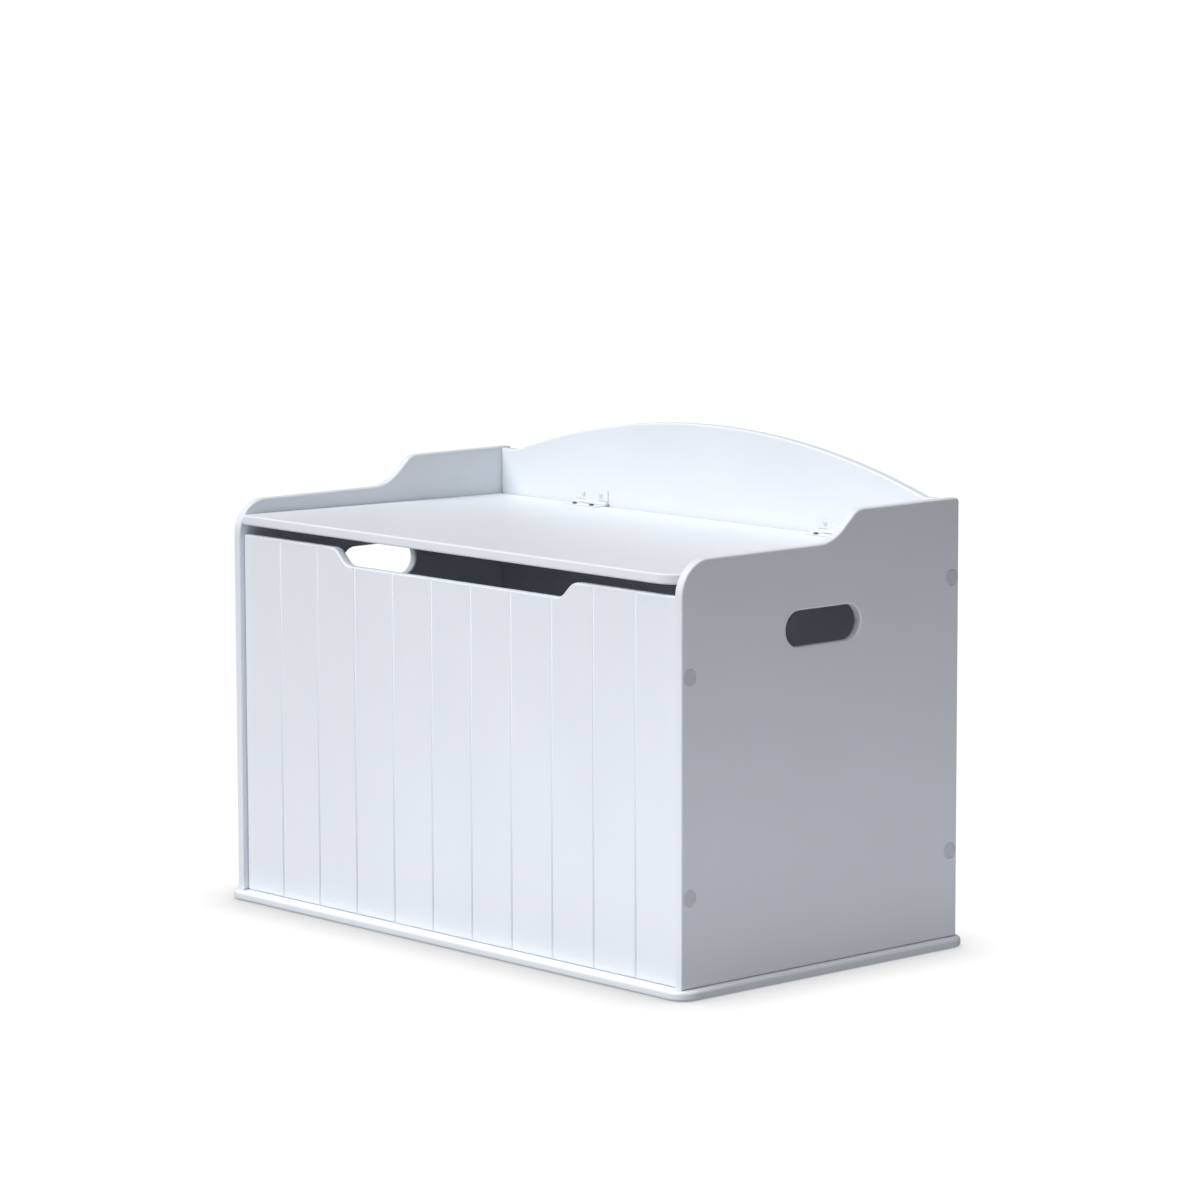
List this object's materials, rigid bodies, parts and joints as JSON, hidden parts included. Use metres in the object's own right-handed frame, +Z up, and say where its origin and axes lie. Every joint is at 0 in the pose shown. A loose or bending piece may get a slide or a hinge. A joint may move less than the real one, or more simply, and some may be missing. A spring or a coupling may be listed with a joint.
{
  "type": "toy box",
  "caption": "Painted wooden toy box with a hinged seat lid, grooved front with a finger notch, arched back, hand slots in both sides and lid stays that hold the lid open.",
  "frame": {"origin": "on the floor under the middle of the base plate", "axes": "+X to the right seen from the front, +Y from the front to the back, +Z up; the front panel faces -Y"},
  "size_m": [0.843, 0.4736, 0.6004],
  "materials": {
    "white_paint": "satin paint on fibreboard",
    "white_metal": "semi-gloss paint",
    "cap_plastic": "satin",
    "zinc_steel": "zinc plated",
    "dark_steel": "black oxide",
    "stay_plastic": "moulded",
    "pad_rubber": "matt"
  },
  "bodies": {
    "box": {"base_plate": "white_paint", "left_side_panel": "white_paint", "right_side_panel": "white_paint", "front_panel": "white_paint", "back_panel": "white_paint", "left_lid_rest": "white_paint", "right_lid_rest": "white_paint", "left_rest_pad": "pad_rubber", "right_rest_pad": "pad_rubber", "left_hinge_back_leaf": "white_metal", "left_hinge_pin": "white_metal", "left_back_hinge_screw_1": "white_metal", "left_back_hinge_screw_2": "white_metal", "right_hinge_back_leaf": "white_metal", "right_hinge_pin": "white_metal", "right_back_hinge_screw_1": "white_metal", "right_back_hinge_screw_2": "white_metal", "left_stay_damper": "stay_plastic", "left_stay_damper_shaft": "zinc_steel", "right_stay_damper": "stay_plastic", "right_stay_damper_shaft": "zinc_steel", "left_front_connector_1": "zinc_steel", "left_front_connector_2": "zinc_steel", "left_back_connector_1": "zinc_steel", "left_back_connector_2": "zinc_steel", "right_front_connector_1": "zinc_steel", "right_front_connector_2": "zinc_steel", "right_back_connector_1": "zinc_steel", "right_back_connector_2": "zinc_steel", "left_front_screw_cap_1": "cap_plastic", "left_front_screw_cap_2": "cap_plastic", "left_back_screw_cap_1": "cap_plastic", "left_back_screw_cap_2": "cap_plastic", "right_front_screw_cap_1": "cap_plastic", "right_front_screw_cap_2": "cap_plastic", "right_back_screw_cap_1": "cap_plastic", "right_back_screw_cap_2": "cap_plastic", "left_base_screw_1": "zinc_steel", "left_base_screw_2": "zinc_steel", "right_base_screw_1": "zinc_steel", "right_base_screw_2": "zinc_steel"},
    "lid": {"lid": "white_paint", "left_hinge_lid_leaf": "white_metal", "left_lid_hinge_screw_1": "dark_steel", "left_lid_hinge_screw_2": "dark_steel", "right_hinge_lid_leaf": "white_metal", "right_lid_hinge_screw_1": "dark_steel", "right_lid_hinge_screw_2": "dark_steel", "left_stay_lid_bracket": "zinc_steel", "left_stay_lid_pin": "zinc_steel", "right_stay_lid_bracket": "zinc_steel", "right_stay_lid_pin": "zinc_steel"},
    "left_crank": {"left_stay_crank": "zinc_steel", "left_stay_elbow_pin": "zinc_steel"},
    "left_link": {"left_stay_link": "zinc_steel"},
    "right_crank": {"right_stay_crank": "zinc_steel", "right_stay_elbow_pin": "zinc_steel"},
    "right_link": {"right_stay_link": "zinc_steel"}
  },
  "joints": [
    {"name": "lid_hinge", "type": "hinge", "parent": "box", "child": "lid", "pos_m": [0, 0.20505, 0.48555], "axis": [-1, 0, 0], "range_deg": [0, 82]},
    {"name": "left_stay_shoulder", "type": "hinge", "parent": "box", "child": "left_crank", "pos_m": [-0.3851, 0.17505, 0.44555], "axis": [-1, 0, 0], "range_deg": [0, 82]},
    {"name": "left_stay_elbow", "type": "hinge", "parent": "left_crank", "child": "left_link", "pos_m": [-0.3825, 0.07961, 0.42009], "axis": [-1, 0, 0], "range_deg": [-82, 0]},
    {"name": "right_stay_shoulder", "type": "hinge", "parent": "box", "child": "right_crank", "pos_m": [0.3851, 0.17505, 0.44555], "axis": [-1, 0, 0], "range_deg": [0, 82]},
    {"name": "right_stay_elbow", "type": "hinge", "parent": "right_crank", "child": "right_link", "pos_m": [0.3825, 0.07961, 0.42009], "axis": [-1, 0, 0], "range_deg": [-82, 0]}
  ],
  "couplings": [
    {"joint": "left_stay_shoulder", "follows": "lid_hinge", "ratio": 1},
    {"joint": "left_stay_elbow", "follows": "lid_hinge", "ratio": -1},
    {"joint": "right_stay_shoulder", "follows": "lid_hinge", "ratio": 1},
    {"joint": "right_stay_elbow", "follows": "lid_hinge", "ratio": -1}
  ]
}
